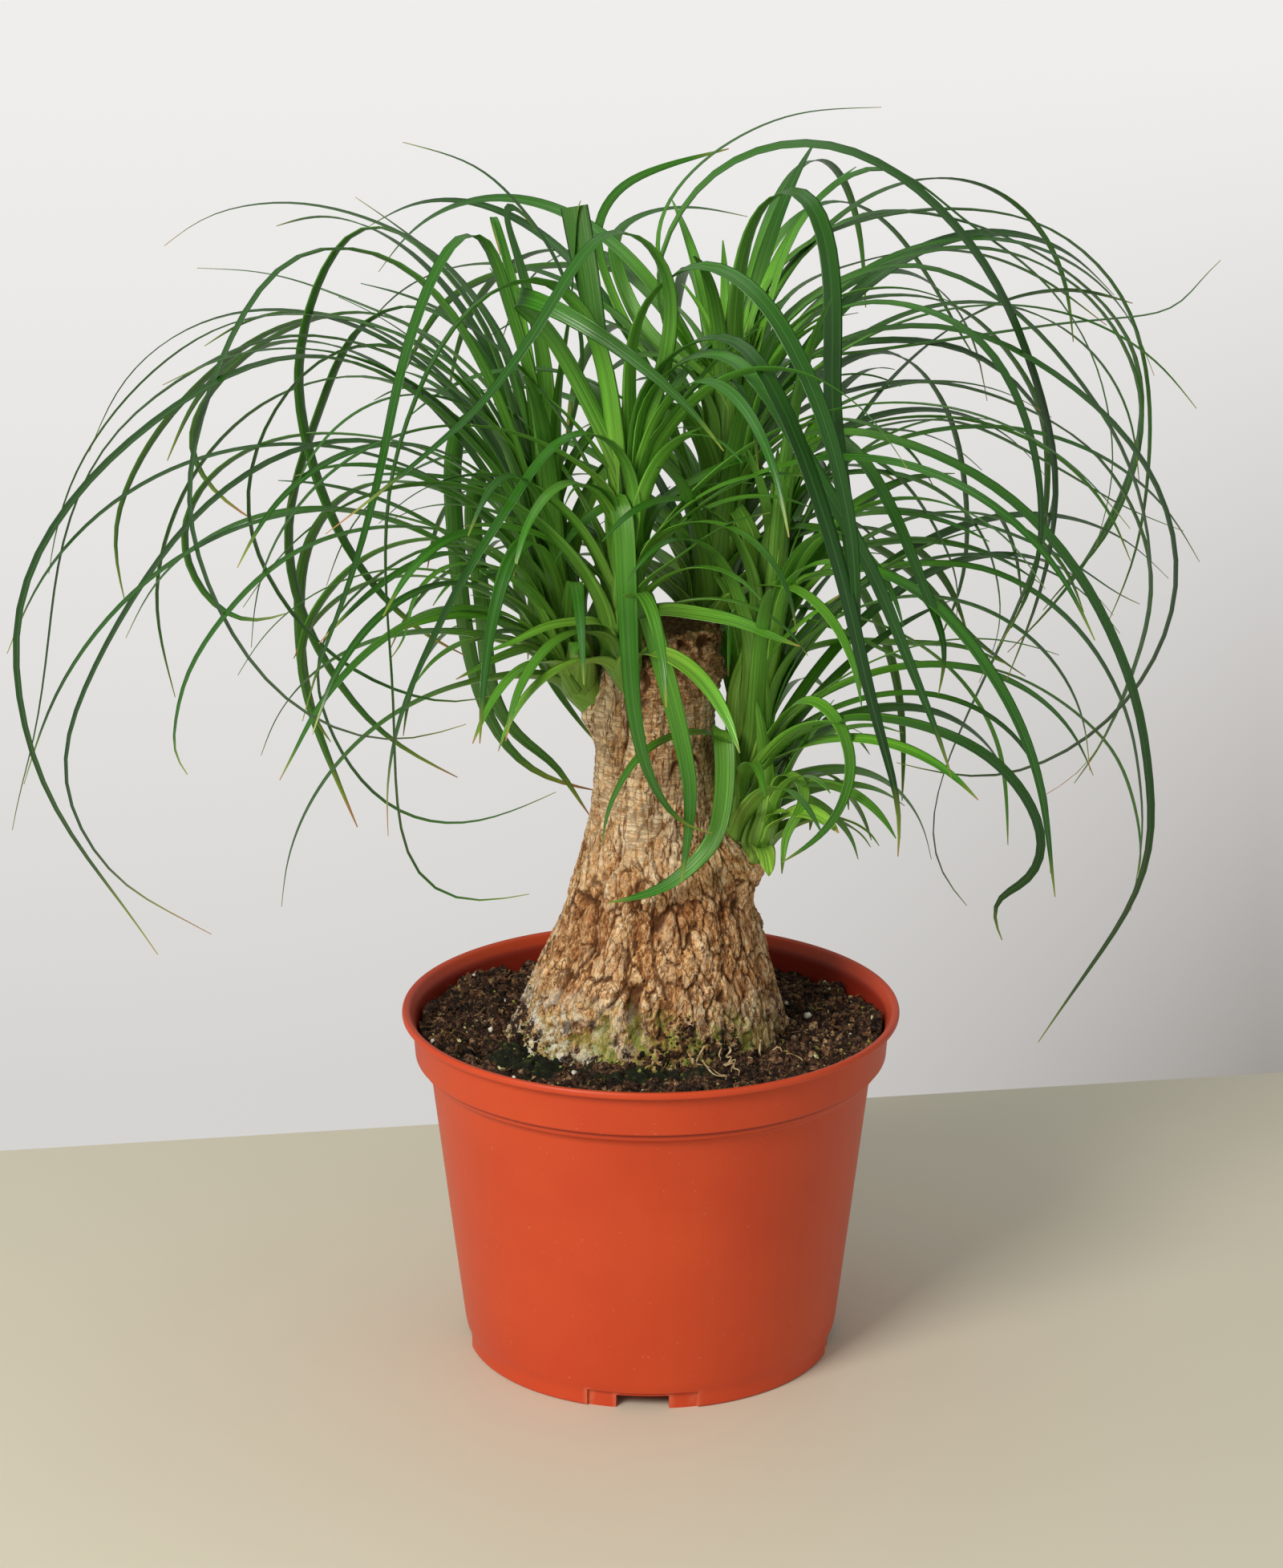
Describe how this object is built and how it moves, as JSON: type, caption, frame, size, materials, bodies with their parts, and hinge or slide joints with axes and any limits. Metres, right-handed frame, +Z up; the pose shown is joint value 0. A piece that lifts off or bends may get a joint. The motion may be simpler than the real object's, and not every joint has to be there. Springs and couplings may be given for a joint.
{
  "type": "potted ponytail palm",
  "caption": "Ponytail palm with a swollen ridged trunk and arching strap leaves in leafy shoots, standing in potting mix in a tapered plastic nursery pot.",
  "frame": {"origin": "centre of the pot's foot, on the surface that it stands on", "axes": "+Z up along the pot's axis, front of the plant as pictured towards -Y, +X to the right seen from the front"},
  "size_m": [0.3841, 0.2964, 0.407],
  "materials": {
    "pot_plastic": "satin terracotta-red injection-moulded polypropylene",
    "potting_mix": "loose dark peat and bark fibre with white perlite",
    "bark": "rough corky tan bark with ridges and leaf scars",
    "leaf": "smooth leathery green strap leaves, brighter at the base"
  },
  "bodies": {
    "root": {"pot": "pot_plastic", "soil": "potting_mix", "trunk": "bark", "head_left": "leaf", "head_front": "leaf", "head_back": "leaf", "head_right": "leaf", "head_small": "leaf"}
  },
  "joints": []
}
